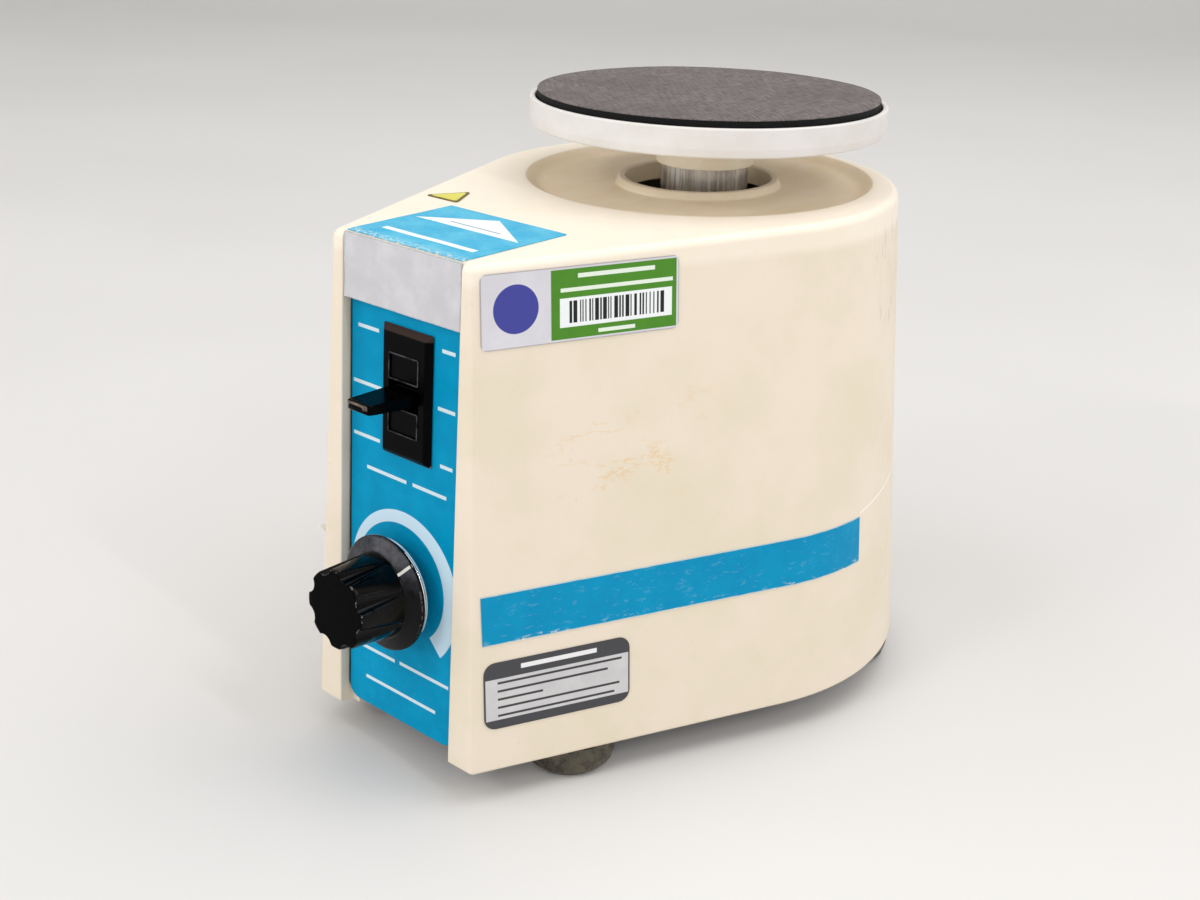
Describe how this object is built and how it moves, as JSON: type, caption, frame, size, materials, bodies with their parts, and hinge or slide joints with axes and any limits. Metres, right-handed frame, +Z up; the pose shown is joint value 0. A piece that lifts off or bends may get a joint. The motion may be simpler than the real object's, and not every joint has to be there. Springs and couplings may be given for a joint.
{
  "type": "vortex shaker",
  "caption": "Bench-top laboratory shaker: tapered teardrop casing, round padded platform that orbits on an eccentric, lever mode switch, speed knob and rear power inlet.",
  "frame": {"origin": "centre of the base of the bounding box, on the surface that the feet stand on", "axes": "+Z up, -Y out of the front panel with the knob and the switch, +X to the right when facing the back of the casing from the front"},
  "size_m": [0.133, 0.1892, 0.1575],
  "materials": {
    "casing": "satin cream paint",
    "blue_vinyl": "satin printed film",
    "white_vinyl": "satin film, blank",
    "asset_vinyl": "satin film, white and green",
    "notice_vinyl": "satin film, grey and white",
    "yellow_vinyl": "satin film",
    "black_plastic": "glossy moulded",
    "white_plastic": "satin moulded",
    "mat_rubber": "fine textured top",
    "foot_rubber": "aged translucent",
    "boot_rubber": "matt brown",
    "bush_rubber": "matt",
    "steel": "plated",
    "aluminium": "machined",
    "copper": "enamelled wire",
    "board": "coated board"
  },
  "bodies": {
    "casing": {"housing": "casing", "front_panel": "blue_vinyl", "top_label": "blue_vinyl", "right_stripe": "blue_vinyl", "left_stripe": "blue_vinyl", "nameplate": "white_vinyl", "asset_label": "asset_vinyl", "notice_label": "notice_vinyl", "triangle_label": "yellow_vinyl", "switch_body": "black_plastic", "power_inlet": "black_plastic", "touch_switch": "black_plastic", "foot_front_right": "foot_rubber", "foot_front_left": "foot_rubber", "foot_rear_right": "foot_rubber", "foot_rear_left": "foot_rubber", "stop_bush_left": "bush_rubber", "stop_bush_right": "bush_rubber", "base_plate": "steel", "foot_screw_front_right": "steel", "foot_screw_front_left": "steel", "foot_screw_rear_right": "steel", "foot_screw_rear_left": "steel", "speed_control_body": "steel", "speed_control_nut": "steel", "inlet_pin_live": "steel", "inlet_pin_neutral": "steel", "inlet_pin_earth": "steel", "touch_switch_bracket": "steel", "guide_post_left": "steel", "guide_post_right": "steel", "press_spring_left": "steel", "press_spring_right": "steel", "heat_sink": "aluminium", "circuit_board": "board", "capacitor": "board"},
    "lever": {"switch_lever": "black_plastic"},
    "dial": {"knob": "black_plastic", "knob_ring": "aluminium", "speed_control_shaft": "steel"},
    "plunger": {"touch_switch_plunger": "white_plastic"},
    "carriage": {"motor_carriage": "aluminium", "upper_bearing": "steel", "lower_bearing": "steel", "lower_bracket": "aluminium", "stator_core": "steel", "field_winding": "copper", "motor_bolt_front": "steel", "motor_bolt_rear": "steel", "dust_boot": "boot_rubber"},
    "rotor": {"motor_shaft": "steel", "rotor_core": "steel", "cooling_fan": "black_plastic", "eccentric_hub": "steel"},
    "platform": {"sleeve": "aluminium", "sleeve_bearing": "steel", "platform_boss": "casing", "platform_tray": "white_plastic", "platform_screw": "steel", "platform_mat": "mat_rubber"}
  },
  "joints": [
    {"name": "mode_switch", "type": "hinge", "parent": "casing", "child": "lever", "pos_m": [0.0013, -0.06874, 0.09711], "axis": [1, 0, 0], "range_deg": [-16, 16]},
    {"name": "speed_knob", "type": "hinge", "parent": "casing", "child": "dial", "pos_m": [0, -0.07344, 0.04786], "axis": [0, 0.9991, -0.0424], "range_deg": [-178, 92]},
    {"name": "platform_press", "type": "slide", "parent": "casing", "child": "carriage", "axis": [0, 0, -1], "range_m": [0, 0.002], "stiffness_N_per_m": 6000, "springref_m": -0.005, "deforming": ["press_spring_left", "press_spring_right"]},
    {"name": "touch_plunger", "type": "slide", "parent": "casing", "child": "plunger", "axis": [0, 0, -1], "range_m": [0, 0.002]},
    {"name": "motor_spin", "type": "hinge", "parent": "carriage", "child": "rotor", "pos_m": [0, 0.03439, 0.08], "axis": [0, 0, 1], "continuous": true},
    {"name": "platform_orbit", "type": "hinge", "parent": "rotor", "child": "platform", "pos_m": [0.002, 0.03439, 0.13], "axis": [0, 0, 1], "continuous": true}
  ],
  "couplings": [
    {"joint": "touch_plunger", "follows": "platform_press", "ratio": 1},
    {"joint": "platform_orbit", "follows": "motor_spin", "ratio": -1}
  ]
}
